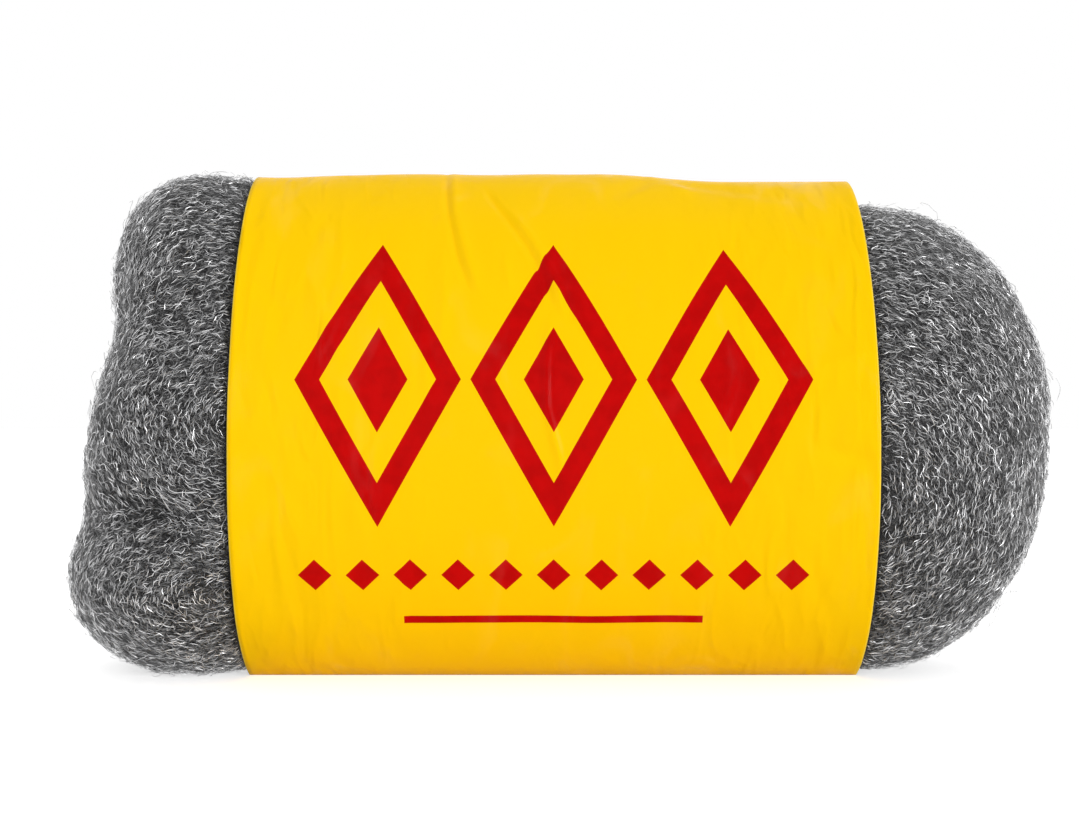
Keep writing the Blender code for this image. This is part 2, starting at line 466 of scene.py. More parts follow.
def seen_directly(board):
    """1 for what the camera sees, straight or in a reflection; 0 for what only lights."""
    path = board.add("ShaderNodeLightPath").outputs
    mirrored = board.math("MAXIMUM", path["Is Glossy Ray"], path["Is Transmission Ray"])
    return board.math("MAXIMUM", path["Is Camera Ray"], mirrored)


def new_group(name, inputs, outputs):
    """A node group with these sockets, and a board to fill it."""
    group = bpy.data.node_groups.new(name, "ShaderNodeTree")
    for socket_name, kind, default in inputs:
        socket = group.interface.new_socket(socket_name, in_out="INPUT", socket_type=kind)
        if default is not None:
            socket.default_value = default
    for socket_name, kind in outputs:
        group.interface.new_socket(socket_name, in_out="OUTPUT", socket_type=kind)
    board = NodeBoard(group)
    given = board.add("NodeGroupInput")
    result = board.add("NodeGroupOutput")
    return group, board, given.outputs, result.inputs


def new_material(name, colour, roughness, metallic):
    material = bpy.data.materials.new(name)
    material.use_nodes = True
    shader = material.node_tree.nodes["Principled BSDF"]
    shader.inputs["Base Color"].default_value = (*colour, 1.0)
    shader.inputs["Roughness"].default_value = roughness
    shader.inputs["Metallic"].default_value = metallic
    return material, NodeBoard(material.node_tree), shader.inputs


def strand_line_group():
    """Thin wavy lines, like strands seen from above. Along and Across are per metre."""
    group, board, given, result = new_group(
        "strand lines",
        [
            ("Place", "NodeSocketVector", None),
            ("Along", "NodeSocketFloat", 300.0),
            ("Across", "NodeSocketFloat", 900.0),
            ("Slant", "NodeSocketFloat", 0.0),
            ("Offset", "NodeSocketFloat", 0.0),
            ("Thickness", "NodeSocketFloat", 0.05),
        ],
        [("Lines", "NodeSocketFloat")],
    )
    parts = board.add("ShaderNodeSeparateXYZ")
    board.feed(parts.inputs[0], given["Place"])
    x, y, z = parts.outputs
    slanted = board.math("ADD", y, board.math("MULTIPLY", x, given["Slant"]))
    scaled = board.add("ShaderNodeCombineXYZ")
    for socket, value, scale in zip(scaled.inputs, (x, slanted, z), ("Along", "Across", "Across")):
        board.feed(socket, board.math("MULTIPLY_ADD", value, given[scale], given["Offset"]))
    waves = board.noise(scaled.outputs[0], 1.0, 1.5, 0.5, 0.7)
    away = board.math("ABSOLUTE", board.math("SUBTRACT", waves, 0.5))
    board.feed(result["Lines"], board.between(away, 0.0, given["Thickness"], 1.0, 0.0))
    return group


def wool_material(settings):
    """The wool's body: buried strands over painted shade in the gaps between them."""
    material, board, shader = new_material("felted steel", settings.light, 0.5, 0.85)
    lines = strand_line_group()
    flow = board.add("ShaderNodeAttribute", attribute_name="flow").outputs["Vector"]
    web = None
    for along, across, slant, offset, thickness, brightness in LINE_LAYERS:
        layer = board.group(
            lines, Place=flow, Along=along, Across=across, Slant=slant, Offset=offset,
            Thickness=thickness,
        )
        lit = board.math("MULTIPLY", layer.outputs["Lines"], brightness)
        web = lit if web is None else board.math("MAXIMUM", web, lit)
    place = board.add("ShaderNodeTexCoord").outputs["Object"]
    patches = board.between(board.noise(place, 260.0, 3.0), 0.35, 0.65, 0.65, 1.12)
    # Painted shade: the web is darkened by the film's edge and in the lower valley, as the skin's
    # values say
    painted_shade_level = board.add("ShaderNodeAttribute", attribute_name="painted_shade").outputs["Fac"]
    patchy = board.math("MULTIPLY", web, patches)
    shown = board.math("MULTIPLY", patchy, board.math("SUBTRACT", 1.0, painted_shade_level))
    board.feed(shader["Base Color"], board.mix(shown, (*settings.painted_gap_shade, 1), (*settings.light, 1)))
    bump = board.add("ShaderNodeBump")
    bump.inputs["Strength"].default_value = 0.9
    bump.inputs["Distance"].default_value = 0.0002
    board.feed(bump.inputs["Height"], web)
    board.feed(shader["Normal"], bump.outputs[0])
    return material


def strand_material(settings):
    """Bare steel strands, each of its own shade: a random tone, and on the strands that lie on the wool
    also a painted shade that darkens the lower ones and those in the hollow and by the film.
    """
    material, board, shader = new_material("steel strands", settings.bright, 0.36, 1.0)
    shade = board.add("ShaderNodeAttribute", attribute_name="shade").outputs["Fac"]
    board.feed(shader["Base Color"], board.mix(shade, (*settings.dull_and_shaded, 1), (*settings.bright, 1)))
    board.feed(shader["Roughness"], board.between(shade, 0.0, 1.0, 0.52, 0.43))
    return material


def lozenge_group():
    """How far a place is from a lozenge's middle, where 1 is its edge."""
    group, board, given, result = new_group(
        "lozenge",
        [
            ("Across", "NodeSocketFloat", 0.0),
            ("Up", "NodeSocketFloat", 0.0),
            ("Half Width", "NodeSocketFloat", 0.01),
            ("Half Height", "NodeSocketFloat", 0.01),
        ],
        [("Reach", "NodeSocketFloat")],
    )
    wide = board.math("DIVIDE", board.math("ABSOLUTE", given["Across"]), given["Half Width"])
    high = board.math("DIVIDE", board.math("ABSOLUTE", given["Up"]), given["Half Height"])
    board.feed(result["Reach"], board.math("ADD", wide, high))
    return group


def print_mask(board, across, up, settings):
    """Where the red ink lies: three large lozenges, a row of small ones, and a short rule."""
    lozenge = lozenge_group()
    off_middle = board.math("ABSOLUTE", across)

    spacing, big_raised, frame_from, core_to = settings.big_spacing, 0.0075, 0.70, 0.36
    folded = board.math("WRAP", across, spacing / 2, -spacing / 2)
    within = board.math("LESS_THAN", off_middle, 1.5 * spacing)
    big = board.group(
        lozenge, Across=folded, Up=board.math("SUBTRACT", up, big_raised),
        Half_Width=settings.big_half_width, Half_Height=settings.big_half_height,
    ).outputs["Reach"]
    outer, inner = board.math("LESS_THAN", big, 1.0), board.math("GREATER_THAN", big, frame_from)
    core = board.math("LESS_THAN", big, core_to)
    whole = board.math("MAXIMUM", board.math("MULTIPLY", outer, inner), core)
    large = board.math("MULTIPLY", whole, within)

    small_spacing, small_half, small_lowered = 0.0082, 0.0029, 0.0262
    small_folded = board.math("WRAP", across, small_spacing / 2, -small_spacing / 2)
    small_within = board.math("LESS_THAN", off_middle, 5.5 * small_spacing)
    small = board.group(
        lozenge, Across=small_folded, Up=board.math("ADD", up, small_lowered),
        Half_Width=small_half, Half_Height=small_half,
    ).outputs["Reach"]
    row = board.math("MULTIPLY", board.math("LESS_THAN", small, 1.0), small_within)

    rule_lowered, rule_half_height, rule_half_width = 0.0352, 0.0008, 0.0260
    off_rule = board.math("ABSOLUTE", board.math("ADD", up, rule_lowered))
    rule_high = board.math("LESS_THAN", off_rule, rule_half_height)
    rule_wide = board.math("LESS_THAN", off_middle, rule_half_width)
    rule = board.math("MULTIPLY", rule_high, rule_wide)
    return board.math("MAXIMUM", board.math("MAXIMUM", large, row), rule)


def film_material(settings):
    """Yellow film with a red print, a soft gloss, and a pale cut edge."""
    material, board, shader = new_material("printed film", settings.yellow, 0.30, 0.0)
    uv = board.add("ShaderNodeUVMap", uv_map="film")
    parts = board.add("ShaderNodeSeparateXYZ")
    board.feed(parts.inputs[0], uv.outputs["UV"])
    across, up = parts.outputs["X"], parts.outputs["Y"]
    red = print_mask(board, across, up, settings)
    place = board.add("ShaderNodeTexCoord").outputs["Object"]
    cloud = board.noise(place, 45.0, 3.0, 0.55)
    ink = board.between(board.noise(place, 300.0, 3.0), 0.3, 0.7, 0.90, 1.06)
    deeper = (1.0, 0.555, 0.0005, 1)
    paper = board.mix(board.between(cloud, 0.3, 0.7, 0.0, 0.10), (*settings.yellow, 1), deeper)
    printed = board.vector("SCALE", (*settings.red,), scale=ink)
    colour = board.mix(red, paper, printed)
    edge = board.math("SUBTRACT", BAND_HALF_WIDTH, board.math("ABSOLUTE", across))
    cut = board.between(edge, 0.00012, 0.00026, 1.0, 0.0)
    board.feed(shader["Base Color"], board.mix(cut, colour, (*settings.edge_pale, 1)))
    board.feed(shader["Roughness"], board.between(cloud, 0.3, 0.7, 0.20, 0.28))
    shader["Specular IOR Level"].default_value = 0.005
    drawn_out = board.vector("MULTIPLY", place, (130.0, 60.0, 60.0))
    streaks = board.noise(drawn_out, 1.0, 3.0, 0.6, 1.0)
    board.feed(shader["Coat Weight"], board.between(streaks, 0.54, 0.76, 0.04, 0.24))
    shader["Coat Roughness"].default_value = 0.16
    crinkle = board.noise(place, 150.0, 4.0, 0.55, 0.6)
    lengthwise = board.vector("MULTIPLY", uv.outputs["UV"], (240.0, 70.0, 0.0))
    slack = board.between(board.math("ABSOLUTE", across), 0.012, 0.045, 0.15, 1.0)
    drape = board.math("MULTIPLY", board.noise(lengthwise, 1.0, 0.8, 0.4, 1.1), slack)
    bump = board.add("ShaderNodeBump")
    bump.inputs["Strength"].default_value = 0.5
    bump.inputs["Distance"].default_value = 0.0013
    board.feed(bump.inputs["Height"], board.math("MULTIPLY_ADD", crinkle, 0.35, drape))
    board.feed(shader["Normal"], bump.outputs[0])
    return material


def keep_values(mesh, name, kind, values):
    """Keeps one value for each vertex, for a material to read."""
    layer = mesh.attributes.new(name, kind, "POINT")
    field = "vector" if kind == "FLOAT_VECTOR" else "value"
    layer.data.foreach_set(field, np.ascontiguousarray(values).ravel())


class STEELWOOL_OT_make_hank(bpy.types.Operator):
    """Makes the wool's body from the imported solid, with its lumps and valleys"""

    bl_idname = "steel_wool.make_hank"
    bl_label = "Make hank"

    def execute(self, context):
        settings = context.scene.steel_wool_hank
        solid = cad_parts["steel_wool_hank"]
        mesh = solid.data.copy()
        mesh.transform(solid.matrix_world)
        hank = bpy.data.objects.new("wool_body", mesh)
        context.scene.collection.objects.link(hank)
        pick_only(hank)
        bpy.ops.object.mode_set(mode="EDIT")
        bpy.ops.mesh.select_all(action="SELECT")
        bpy.ops.mesh.remove_doubles(threshold=1e-6)
        bpy.ops.object.mode_set(mode="OBJECT")
        remesh = hank.modifiers.new("even facets", "REMESH")
        remesh.mode = "VOXEL"
        remesh.voxel_size = settings.grain
        soften = hank.modifiers.new("soften", "SMOOTH")
        soften.factor = 0.5
        soften.iterations = 10
        apply_modifiers(hank)
        self.shape(hank.data, settings)
        hank.data.materials.clear()
        hank.data.materials.append(wool_material(settings))
        hank.data.shade_smooth()
        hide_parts("steel_wool_hank")
        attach(hank, "root")
        return {"FINISHED"}

    def shape(self, mesh, settings):
        """Gives the skin its lumps, its lower valley and its trimmed ends, fills the solid's
        upper valley a little, and keeps what the wool's texture reads: its strand coordinates,
        and a painted shade that darkens the skin by the film's edge and in the lower valley."""
        places, normals = vertex_places(mesh), vertex_normals(mesh)
        outside = smooth_step(beyond_band(places[:, 0]) / SKIN_RUN)
        lumps = soft_noise(places, settings.lump_size, 1)
        lumps += 0.5 * soft_noise(places, settings.lump_size / 2.2, 2)
        lower, along = distance_to_line(places[:, 0], places[:, 2], LOWER_CREASE)
        lower_valley = np.exp(-(lower / LOWER_VALLEY_WIDTH) ** 2) * smooth_step((along - 0.1) / 0.5)
        lower_valley *= 1 - smooth_step((along - 0.76) / 0.24)
        upper, up_along = distance_to_line(places[:, 0], places[:, 2], UPPER_CREASE)
        upper_valley = -0.5 * np.exp(-(upper / UPPER_VALLEY_WIDTH) ** 2) * smooth_step(up_along / 0.5)
        valley = np.where(places[:, 0] < 0, lower_valley + upper_valley, 0)
        out = outside * (settings.lump_height * lumps - settings.sink - settings.crease_depth * valley)
        out -= UNDER_BAND_SINK * (1 - outside) + 0.7 * settings.crease_depth * hollow_share(places)
        places = places + normals * out[:, None]
        for sign, trim in ((-1, LEFT_TRIM), (1, RIGHT_TRIM)):
            heights, reaches = zip(*trim)
            towards_end = smooth_step(beyond_band(places[:, 0]) / TRIM_RUN) * (places[:, 0] * sign > 0)
            places[:, 0] += sign * towards_end * np.interp(places[:, 2], heights, reaches)
        places[:, 2] = np.maximum(places[:, 2], 0.0)
        mesh.vertices.foreach_set("co", places.ravel())
        mesh.update()
        # Painted shade, kept for the material: the skin is darkened along the film's edge, where the
        # film lies close over it, and in the lower valley between the left folds
        by_band = 1 - smooth_step(beyond_band(places[:, 0]) / SKIN_RUN)
        band_edge_shade = by_band * (1 - 0.8 * room_under_film(places))
        keep_values(mesh, "flow", "FLOAT_VECTOR", strand_coordinates(places))
        keep_values(mesh, "painted_shade", "FLOAT", np.clip(0.65 * band_edge_shade + 0.3 * valley, 0, 0.9))


def wool_tree(mesh):
    corners = [face.vertices[:] for face in mesh.polygons]
    return BVHTree.FromPolygons([vertex.co[:] for vertex in mesh.vertices], corners)


def strand_seeds(mesh, count, rng):
    """Places on the wool's bare skin, and where the film leaves room over it, evenly spread."""
    areas = np.empty(len(mesh.polygons))
    mesh.polygons.foreach_get("area", areas)
    centres = np.empty(len(mesh.polygons) * 3)
    mesh.polygons.foreach_get("center", centres)
    centres = centres.reshape(-1, 3)
    areas[(beyond_band(centres[:, 0]) < -0.0015) & (room_under_film(centres) < 0.5)] = 0
    picked = rng.choice(len(areas), size=count, p=areas / areas.sum())
    return centres[picked] + rng.normal(0, 0.0004, (count, 3))


def trace(tree, seeds, points, step, heights, bends, course=None):
    """Walks each strand over the skin. heights and bends give each point's distance off
    the skin and its turn away from its course, which is the batt's own unless given."""
    here = seeds
    before = None
    paths, uprights = [], []
    for i in range(points):
        hits = [tree.find_nearest(place) for place in here.tolist()]
        skin = np.array([hit[0] for hit in hits])
        normal = np.array([hit[1] for hit in hits])
        heading = strand_directions(skin) if course is None else course
        heading = unit(heading - normal * (heading * normal).sum(1, keepdims=True))
        if before is not None:
            heading *= np.where((heading * before).sum(1, keepdims=True) < 0, -1, 1)
        before = heading
        sideways = np.cross(normal, heading)
        turn = bends[:, i, None]
        room = room_under_film(skin)
        off = heights[:, i] * room
        by_band = 1 - smooth_step((beyond_band(skin[:, 0]) + 0.0002) / 0.0012)
        off -= EDGE_DIP * by_band * (1 - room)
        place = skin + normal * off[:, None]
        place[:, 2] = np.maximum(place[:, 2], FLOOR_AIR)
        paths.append(place)
        uprights.append(normal)
        here = skin + (heading * np.cos(turn) + sideways * np.sin(turn)) * step
    return np.stack(paths, 1), np.stack(uprights, 1)


def swing(distance, lengths, rng):
    """A wave along each strand, of its own length and from a start of its own."""
    return np.sin(2 * math.pi * (distance / lengths + rng.random(lengths.shape)))


def strand_mesh(name, paths, uprights, widths, shades, rolls):
    """A closed three-sided tube with pointed ends along each path. rolls turns the tube
    about itself at each point, so that its sides catch the light here and there."""
    count, points = paths.shape[:2]
    along = unit(np.gradient(paths, axis=1))
    side = unit(np.cross(along, uprights))
    up = np.cross(side, along)
    inner = points - 2
    per_strand = inner * 3 + 2
    places = np.empty((count, per_strand, 3))
    places[:, 0] = paths[:, 0]
    places[:, -1] = paths[:, -1]
    radius = widths[:, None, None] / 2
    for k in range(3):
        angle = math.radians(90 + 120 * k) + rolls[:, 1:-1, None]
        ring = paths[:, 1:-1] + radius * (np.cos(angle) * side[:, 1:-1] + np.sin(angle) * up[:, 1:-1])
        places[:, 1 + k:-1:3] = ring
    quads, tips = [], []
    for k in range(3):
        after = (k + 1) % 3
        tips.append((0, 1 + after, 1 + k))
        last = 1 + (inner - 1) * 3
        tips.append((per_strand - 1, last + k, last + after))
        for i in range(inner - 1):
            row = 1 + i * 3
            quads.append((row + k, row + after, row + 3 + after, row + 3 + k))
    starts = (np.arange(count) * per_strand)[:, None, None]
    sides = (starts + np.array(quads)).reshape(-1, 4).tolist()
    ends = (starts + np.array(tips)).reshape(-1, 3).tolist()
    mesh = bpy.data.meshes.new(name)
    mesh.from_pydata(places.reshape(-1, 3), [], sides + ends)
    mesh.update()
    keep_values(mesh, "shade", "FLOAT", np.repeat(shades, per_strand))
    return mesh


# The tufts that catch the eye: the place, the heading in degrees from +X towards +Z, the
# number of strands, their length, spread and lift, and the curl in radians from end to end
TUFTS = (
    ((-0.0710, -0.040, 0.0315), -36, 9, 0.0070, 0.0016, 0.0002, 0.35),
    ((-0.0590, -0.004, 0.0960), 15, 26, 0.0040, 0.0013, 0.0012, 2.2),
    ((0.0820, -0.010, 0.0130), -50, 9, 0.0045, 0.0020, 0.0030, 1.0),
    ((-0.0880, -0.006, 0.0100), 200, 6, 0.0055, 0.0012, 0.0030, 0.8),
    ((-0.0630, -0.020, 0.0010), -20, 18, 0.0040, 0.0030, 0.0006, 1.6),
    ((0.0600, -0.006, 0.0840), 10, 14, 0.0045, 0.0030, 0.0012, 1.4),
)


class STEELWOOL_OT_make_strands(bpy.types.Operator):
    """Lays loose strands over the wool's body, and lets some stand off it"""

    bl_idname = "steel_wool.make_strands"
    bl_label = "Make strands"

    def execute(self, context):
        settings = context.scene.steel_wool_strands
        skin = bpy.data.objects["wool_body"].data
        tree = wool_tree(skin)
        finish = strand_material(settings)
        self.lay(context, settings, skin, tree, finish)
        self.stray(context, settings, skin, tree, finish)
        self.tufts(context, tree, finish)
        return {"FINISHED"}

    def add(self, context, name, paths, uprights, widths, shades, rolls, finish):
        mesh = strand_mesh(name, paths, uprights, widths, shades, rolls)
        strands = bpy.data.objects.new(name, mesh)
        context.scene.collection.objects.link(strands)
        mesh.materials.append(finish)
        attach(strands, "root")

    def lay(self, context, settings, skin, tree, finish):
        """The strands that lie on the wool: most keep to the batt's course, a few cross it,
        and a few are curly."""
        rng = np.random.default_rng(11)
        count, points, step = settings.strand_count, settings.strand_points, settings.strand_step
        usual_slant, crossing_slant = math.radians(13), math.radians(55)
        crossing_share, curly_share = 0.18, 0.08
        lowest, highest = -0.0001, 0.00065
        seeds = strand_seeds(skin, count, rng)
        distance = np.arange(points) * step
        long_swing = swing(distance, rng.uniform(0.0040, 0.0080, (count, 1)), rng)
        short_swing = swing(distance, rng.uniform(0.0019, 0.0034, (count, 1)), rng)
        crossing = rng.random((count, 1)) < crossing_share
        bends = rng.normal(0, 1, (count, 1)) * np.where(crossing, crossing_slant, usual_slant)
        bends = bends + rng.uniform(0.1, 0.35, (count, 1)) * long_swing
        bends += rng.uniform(0.15, 0.60, (count, 1)) * short_swing
        curly = rng.random((count, 1)) < curly_share
        curl = rng.choice([-1, 1], (count, 1)) * distance / rng.uniform(0.0009, 0.0022, (count, 1))
        bends = np.where(curly, bends + curl, bends)
        bends += 0.40 * soft_noise(seeds, 0.007, 5)[:, None]
        hollow = hollow_share(seeds)[:, None]
        base = rng.uniform(lowest, highest, (count, 1)) * (1 - 0.9 * hollow)
        weave = 0.00018 * swing(distance, rng.uniform(0.003, 0.006, (count, 1)), rng)
        paths, uprights = trace(tree, seeds, points, step, base + weave, bends)
        widths = settings.strand_width * rng.uniform(0.65, 1.2, count)
        height_share = (base[:, 0] - lowest) / (highest - lowest)
        middle = paths[:, points // 2]
        # Painted shade over a random tone: strands that lie lower on the skin, those in the hollow and
        # those by the film's edge are made darker
        shades = 0.17 + 0.60 * height_share + rng.normal(0, 0.25, count) - 0.30 * hollow[:, 0]
        by_band = np.exp(-np.maximum(beyond_band(middle[:, 0]), 0) / 0.0020)
        shades = np.clip(shades - 0.15 * by_band, 0, 1)
        rolls = rng.uniform(-0.9, 0.9, (count, 1)) + math.pi + rng.normal(0, 220, (count, 1)) * distance
        right, front = middle[:, 0] > 0, middle[:, 1] < 0
        parts = {
            "right_front": right & front, "right_back": right & ~front,
            "left_front": ~right & front, "left_back": ~right & ~front,
        }
        for part, chosen in parts.items():
            mine = [values[chosen] for values in (paths, uprights, widths, shades, rolls)]
            self.add(context, "strands_" + part, *mine, finish)

    def stray(self, context, settings, skin, tree, finish):
        """Short fuzz all over, and a few long loose strands."""
        rng = np.random.default_rng(23)
        for name, count, points, step, reach, power, width in (
            ("fuzz", settings.stray_count, 5, 0.00065, 0.7, 1.5, 0.00007),
            ("long_strays", settings.stray_count // 12, 11, 0.00080, 1.6, 2.5, 0.00008),
        ):
            seeds = strand_seeds(skin, count, rng)
            distance = np.arange(points) * step
            share = distance / distance[-1]
            bends = rng.normal(0, 1.1, (count, 1)) + rng.normal(0, 1.0, (count, 1)) * share * 2.6
            bends += 0.5 * swing(distance, rng.uniform(0.002, 0.004, (count, 1)), rng)
            peak = settings.stray_height * reach * rng.uniform(0.15, 1.0, (count, 1)) ** power
            loop = np.sin(math.pi * share * rng.uniform(0.5, 1.0, (count, 1)))
            paths, uprights = trace(tree, seeds, points, step, 0.0004 + peak * loop, bends)
            widths = width * rng.uniform(0.7, 1.3, count)
            shades = rng.uniform(0.25, 0.75, count)
            rolls = rng.uniform(0, 7, (count, 1)) + rng.normal(0, 200, (count, 1)) * distance
            self.add(context, name, paths, uprights, widths, shades, rolls, finish)

    def tufts(self, context, tree, finish):
        """The loose tufts, each a few strands that start near one place on about one course."""
        rng = np.random.default_rng(31)
        counts = [tuft[2] for tuft in TUFTS]
        place, heading, _, length, spread, lift, curl = (
            np.repeat(np.array(column, dtype=float), counts, axis=0) for column in zip(*TUFTS)
        )
        total, points = sum(counts), 9
        seeds = place + rng.normal(0, 1, (total, 3)) * spread[:, None]
        turn = np.radians(heading + rng.normal(0, 14, total))
        course = np.stack([np.cos(turn), rng.normal(0, 0.25, total), np.sin(turn)], 1)
        length = length * rng.uniform(0.6, 1.2, total)
        share = np.linspace(0, 1, points)[None, :]
        bends = curl[:, None] * rng.normal(0, 1, (total, 1)) * share
        bends = bends + 0.22 * np.sin(9 * share + rng.uniform(0, 7, (total, 1)))
        lift = (lift * rng.uniform(0.2, 1.0, total))[:, None]
        least_height = 0.0007
        heights = least_height + lift * share ** 1.4
        step = (length / (points - 1))[:, None]
        paths, uprights = trace(tree, seeds, points, step, heights, bends, course)
        widths = rng.uniform(0.00008, 0.00012, total)
        rolls = rng.uniform(0, 7, (total, 1)) + 2.0 * rng.normal(0, 1, (total, 1)) * share
        shades = rng.uniform(0.4, 0.85, total)
        self.add(context, "tufts", paths, uprights, widths, shades, rolls, finish)


# The pulls in the film's front: the (x, z) points that a fold runs through, its width, and
# its height as a share of the full one. Below 0 it is a furrow
PULLS = (
    (((-0.0220, 0.0960), (-0.0205, 0.0835), (-0.0185, 0.0750), (-0.0150, 0.0660)), 0.0006, -1.1),
    (((-0.0205, 0.0960), (-0.0190, 0.0835), (-0.0165, 0.0745), (-0.0135, 0.0665)), 0.0008, 0.8),
    (
        ((-0.0150, 0.0900), (-0.0120, 0.0855), (-0.0065, 0.0775), (-0.0030, 0.0705), (-0.0015, 0.0640)),
        0.0006, -1.2,
    ),
    (((-0.0105, 0.0855), (-0.0050, 0.0780), (-0.0010, 0.0705), (0.0005, 0.0630)), 0.0008, 0.9),
    (
        ((-0.0020, 0.0660), (-0.0030, 0.0560), (-0.0030, 0.0490), (-0.0010, 0.0415), (0.0010, 0.0320)),
        0.0008, 0.9,
    ),
    (((-0.0020, 0.0790), (0.0005, 0.0675), (0.0020, 0.0620)), 0.0008, -0.6),
    (((-0.0215, 0.0775), (-0.0205, 0.0675), (-0.0215, 0.0560)), 0.0010, 0.5),
    (((-0.0105, 0.0765), (-0.0090, 0.0680)), 0.0008, 0.5),
    (((-0.0510, 0.0700), (-0.0515, 0.0535), (-0.0525, 0.0380)), 0.0018, 0.8),
    (((-0.0555, 0.0725), (-0.0470, 0.0645)), 0.0012, -0.7),
    (((-0.0430, 0.0675), (-0.0375, 0.0550)), 0.0015, 0.6),
    (((0.0400, 0.0540), (0.0545, 0.0590)), 0.0017, 0.8),
    (((0.0410, 0.0425), (0.0545, 0.0390)), 0.0015, -0.8),
    (((-0.0265, 0.0240), (-0.0290, 0.0090)), 0.0010, 0.5),
    (((0.0415, 0.0255), (0.0470, 0.0100)), 0.0010, -0.5),
    (((0.0070, 0.0860), (0.0165, 0.0910), (0.0295, 0.0890), (0.0505, 0.0855)), 0.0012, -0.7),
    (((0.0150, 0.0925), (0.0250, 0.0870)), 0.0012, 0.8),
    (((-0.0245, 0.0620), (-0.0225, 0.0480)), 0.0012, 0.5),
)

# Share of the film's rows against share of the turn, and of its columns against share of the
# width, so that most rows lie on the front and most columns on its finest folds
ROWS_SO_FAR = (0.0, 0.12, 0.56, 0.87, 1.0)
TURN_SO_FAR = (0.0, 0.22, 0.47, 0.73, 1.0)
COLUMNS_SO_FAR = (0.0, 0.19, 0.66, 1.0)
WIDTH_SO_FAR = (0.0, 0.28, 0.56, 1.0)

# The air between the two ends where they lap, how far the outer end takes to climb over the
# inner one, and the height of the print's middle on the front
LAP_AIR = 0.0001
LAP_CLIMB = 0.0080
PRINT_HEIGHT = 0.0460


class STEELWOOL_OT_make_band(bpy.types.Operator):
    """Wraps the printed film round the hank"""

    bl_idname = "steel_wool.make_band"
    bl_label = "Make band"

    def execute(self, context):
        settings = context.scene.steel_wool_band
        columns, rows = 176, 240
        bpy.ops.object.select_all(action="DESELECT")
        bpy.ops.mesh.primitive_grid_add(
            x_subdivisions=columns, y_subdivisions=rows, size=2, location=(0, 0, 0)
        )
        band = context.active_object
        band.name = "film_band"
        self.wrap(band.data, settings)
        band.data.materials.append(film_material(settings))
        wall = band.modifiers.new("film", "SOLIDIFY")
        wall.thickness = settings.film_thickness
        wall.offset = 1.0
        apply_modifiers(band)
        band.data.shade_smooth()
        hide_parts("printed_band")
        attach(band, "root")
        return {"FINISHED"}

    def wrap(self, mesh, settings):
        """Takes the flat grid round the section, and lays the film out flat in its UV map, in
        metres from the print's middle."""
        flat = vertex_places(mesh)
        lap_angle = settings.lap_length / HALF_DEPTH
        start = -lap_angle / 2
        turned = np.interp((flat[:, 1] + 1) / 2, ROWS_SO_FAR, TURN_SO_FAR)
        angle = start + turned * (2 * math.pi + lap_angle)
        along = np.interp((flat[:, 0] + 1) / 2, COLUMNS_SO_FAR, WIDTH_SO_FAR)
        x = BAND_LEFT + along * (BAND_RIGHT - BAND_LEFT)
        up = np.clip(np.sin(angle), 0, 1)
        climb_angle = LAP_CLIMB / HALF_DEPTH
        over = smooth_step((angle - start - 2 * math.pi + climb_angle) / climb_angle)
        radius = section_radius(angle) + crown_height(x) * up ** 2
        radius += over * (settings.film_thickness + LAP_AIR)
        y = radius * np.cos(angle)
        z = WIDEST_HEIGHT + radius * np.sin(angle)
        radius += self.pulls(x, y, z, angle, settings)
        y = radius * np.cos(angle)
        z = WIDEST_HEIGHT + radius * np.sin(angle)
        fine = np.linspace(start, start + 2 * math.pi + lap_angle, 4000)
        fine_y = section_radius(fine) * np.cos(fine)
        fine_z = section_radius(fine) * np.sin(fine)
        length = np.concatenate([[0], np.cumsum(np.hypot(np.diff(fine_y), np.diff(fine_z)))])
        arc = np.interp(angle, fine, length)
        front = np.interp(math.pi, fine, length)
        mesh.vertices.foreach_set("co", np.stack([x, y, np.maximum(z, 0)], 1).ravel())
        while mesh.uv_layers:
            mesh.uv_layers.remove(mesh.uv_layers[0])
        film = mesh.uv_layers.new(name="film")
        corner = np.empty(len(mesh.loops), dtype=np.int32)
        mesh.loops.foreach_get("vertex_index", corner)
        pair = np.stack([x - BAND_MIDDLE, front - arc + WIDEST_HEIGHT - PRINT_HEIGHT], 1)[corner]
        film.data.foreach_set("uv", pair.ravel())
        mesh.update()

    def pulls(self, x, y, z, angle, settings):
        """Soft folds on the front and top, and a faint wave and lifted cut edges that fade out
        at the floor."""
        front = smooth_step((0.004 - y) / 0.012)
        height = np.zeros(len(x))
        for line, width, share in PULLS:
            away, along = distance_to_line(x, z, line)
            ends = smooth_step(along / 0.2) * smooth_step((1 - along) / 0.3)
            height += settings.fold_height * share * ends * np.exp(-(away / width) ** 2) * front
        above = smooth_step((z - 0.004) / 0.010)
        places = np.stack([x, y, z], 1)
        wave = 0.00018 * above * (1 + soft_noise(places, 0.013, 7))
        edge = BAND_HALF_WIDTH - np.abs(x - BAND_MIDDLE)
        lift = 0.00022 * above * np.exp(-edge / 0.0025) * (1 + soft_noise(places, 0.011, 9))
        return height + wave + lift


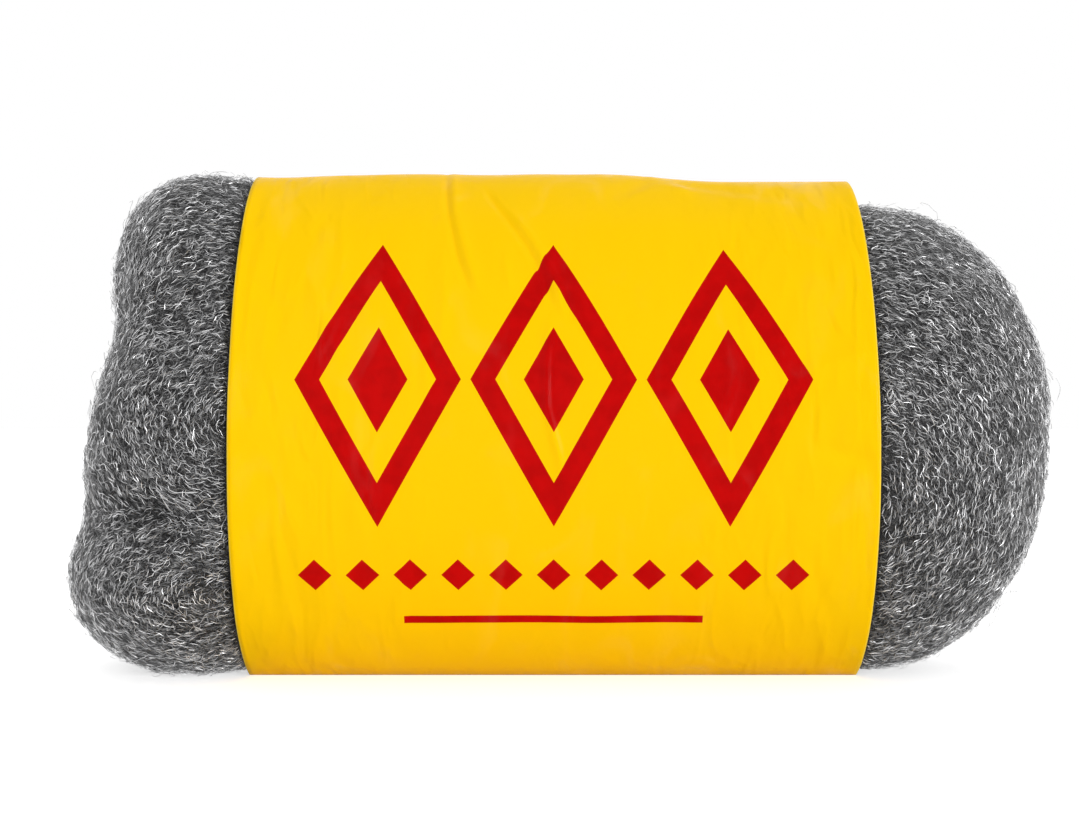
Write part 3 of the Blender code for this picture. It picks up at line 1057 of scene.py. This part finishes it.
class STEELWOOL_OT_set_stage(bpy.types.Operator):
    """Sets the floor, the soft light and the camera"""

    bl_idname = "steel_wool.set_stage"
    bl_label = "Set stage"

    def execute(self, context):
        settings = context.scene.steel_wool_stage
        bpy.ops.object.select_all(action="DESELECT")
        bpy.ops.mesh.primitive_plane_add(size=FLOOR_SIZE, location=(0, 0, 0))
        floor = context.active_object
        floor.name = "floor"
        floor.data.materials.append(self.floor_material(settings))
        self.surround(context, settings)
        for name, (share, spread, elevation, turn) in LAMPS.items():
            self.lamp(name, settings.key_strength * share, spread, elevation, turn)
        bpy.ops.object.camera_add(location=settings.camera_place, rotation=(math.radians(90), 0, 0))
        camera = context.active_object
        camera.data.lens = 50
        camera.data.sensor_width = 36
        camera.data.clip_start = 0.01
        context.scene.camera = camera
        context.scene.view_settings.view_transform = "Standard"
        return {"FINISHED"}

    def lamp(self, name, strength, spread, elevation, turn):
        """A wide soft sun. Its place doesn't matter, only its turn."""
        turned = (math.radians(90 - elevation), 0, math.radians(turn))
        bpy.ops.object.light_add(type="SUN", location=(0, -0.5, 0.5), rotation=turned)
        lamp = bpy.context.active_object
        lamp.name = name
        lamp.data.energy = strength
        lamp.data.angle = math.radians(spread)

    def floor_material(self, settings):
        """A pale matt floor that looks white where nothing shades it. Its glow only shows, and
        lights nothing else."""
        material, board, _ = new_material("pale floor", settings.floor, 0.9, 0.0)
        tree = material.node_tree
        glow = board.add("ShaderNodeEmission")
        glow.inputs["Color"].default_value = (1, 1, 1, 1)
        board.feed(glow.inputs["Strength"], board.math("MULTIPLY", seen_directly(board), FLOOR_GLOW))
        both = board.add("ShaderNodeAddShader")
        board.feed(both.inputs[0], tree.nodes["Principled BSDF"].outputs[0])
        board.feed(both.inputs[1], glow.outputs[0])
        board.feed(tree.nodes["Material Output"].inputs["Surface"], both.outputs[0])
        return material

    def surround(self, context, settings):
        """Even light all round, white to the camera and in reflections."""
        world = bpy.data.worlds.new("white surround")
        world.use_nodes = True
        context.scene.world = world
        board = NodeBoard(world.node_tree)
        strength = board.between(seen_directly(board), 0.0, 1.0, settings.world_strength, 1.0)
        light = world.node_tree.nodes["Background"]
        light.inputs["Color"].default_value = (1, 1, 1, 1)
        board.feed(light.inputs["Strength"], strength)


class STEELWOOL_PT_panel(bpy.types.Panel):
    """Lists the pieces and their sizes and colours"""

    bl_idname = "STEELWOOL_PT_panel"
    bl_label = "Steel wool pad"
    bl_space_type = "VIEW_3D"
    bl_region_type = "UI"
    bl_category = "Steel Wool"

    def draw(self, context):
        scene = context.scene
        for operator, group in (
            (STEELWOOL_OT_make_hank, scene.steel_wool_hank),
            (STEELWOOL_OT_make_strands, scene.steel_wool_strands),
            (STEELWOOL_OT_make_band, scene.steel_wool_band),
            (STEELWOOL_OT_set_stage, scene.steel_wool_stage),
        ):
            box = self.layout.box()
            box.operator(operator.bl_idname)
            for name in group.__annotations__:
                box.prop(group, name)


GROUPS = {
    "steel_wool_hank": HankSettings,
    "steel_wool_strands": StrandSettings,
    "steel_wool_band": BandSettings,
    "steel_wool_stage": StageSettings,
}
CLASSES = (
    *GROUPS.values(),
    STEELWOOL_OT_make_hank,
    STEELWOOL_OT_make_strands,
    STEELWOOL_OT_make_band,
    STEELWOOL_OT_set_stage,
    STEELWOOL_PT_panel,
)


def register():
    for cls in CLASSES:
        bpy.utils.register_class(cls)
    for name, group in GROUPS.items():
        setattr(bpy.types.Scene, name, bpy.props.PointerProperty(type=group))


def unregister():
    for name in GROUPS:
        delattr(bpy.types.Scene, name)
    for cls in reversed(CLASSES):
        bpy.utils.unregister_class(cls)


def main():
    register()
    bpy.ops.steel_wool.make_hank()
    bpy.ops.steel_wool.make_strands()
    bpy.ops.steel_wool.make_band()
    bpy.ops.steel_wool.set_stage()


if __name__ == "__main__":
    main()
